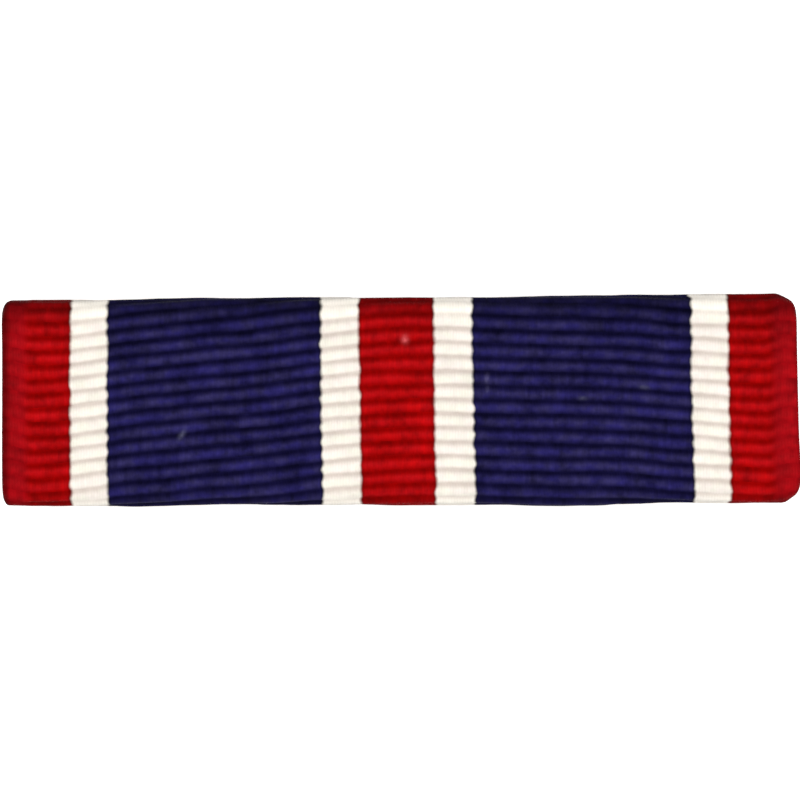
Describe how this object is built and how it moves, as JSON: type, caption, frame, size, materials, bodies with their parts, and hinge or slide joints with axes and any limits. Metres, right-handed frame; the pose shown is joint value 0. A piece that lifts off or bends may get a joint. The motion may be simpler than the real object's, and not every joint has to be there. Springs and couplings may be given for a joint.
{
  "type": "ribbon bar",
  "caption": "Ribbon bar worn on a uniform: a striped, ribbed ribbon wound over a metal plate, with posts and clutches on its back.",
  "frame": {"origin": "middle of the bar's outline from above, on the surface that its two clutches rest on", "axes": "+X along the bar, to the right in the picture; +Y towards the upper edge of the face; +Z out of the ribbon's face, away from the wearer"},
  "size_m": [0.0348, 0.009, 0.0074],
  "materials": {
    "ribbon_cloth": "ribbed weave with red, white and blue stripes",
    "plate_metal": "satin",
    "clutch_metal": "satin"
  },
  "bodies": {
    "root": {"ribbon": "ribbon_cloth", "bar": "plate_metal", "clutch_left": "clutch_metal", "clutch_right": "clutch_metal"}
  },
  "joints": []
}
